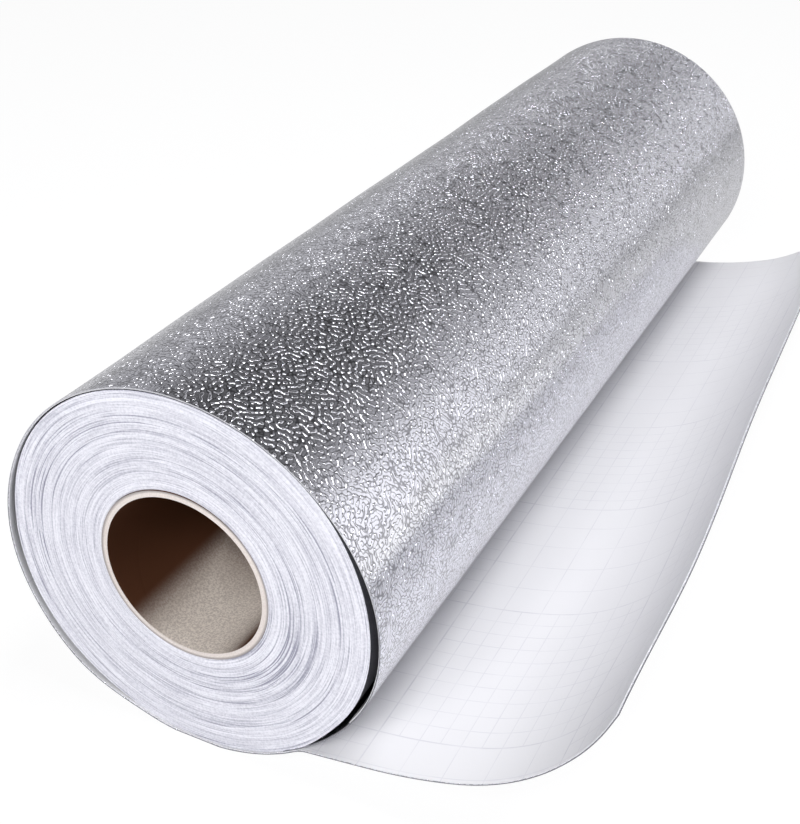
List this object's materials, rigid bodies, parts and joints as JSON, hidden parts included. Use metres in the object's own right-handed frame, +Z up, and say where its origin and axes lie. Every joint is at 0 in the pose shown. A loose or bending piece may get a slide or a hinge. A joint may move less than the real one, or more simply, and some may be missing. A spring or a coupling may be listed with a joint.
{
  "type": "roll of adhesive foil",
  "caption": "Roll of embossed self-adhesive aluminium foil on white gridded release paper, wound on a cardboard core, with its end unrolled and curling up.",
  "frame": {"origin": "centre of the core's bore at half the roll's width", "axes": "+Y along the roll's axis, +Z up with the roll lying on its flat spot, +X towards the unrolled end"},
  "size_m": [0.272, 0.6, 0.1764],
  "materials": {
    "kraft_board": "matt spiral-wound kraft board",
    "embossed_foil": "bright foil with a fine orange-peel emboss",
    "release_paper": "smooth siliconised white paper with a faint grey measuring grid"
  },
  "bodies": {
    "root": {"core_tube": "kraft_board", "foil_web": "embossed_foil", "release_liner": "release_paper"}
  },
  "joints": []
}
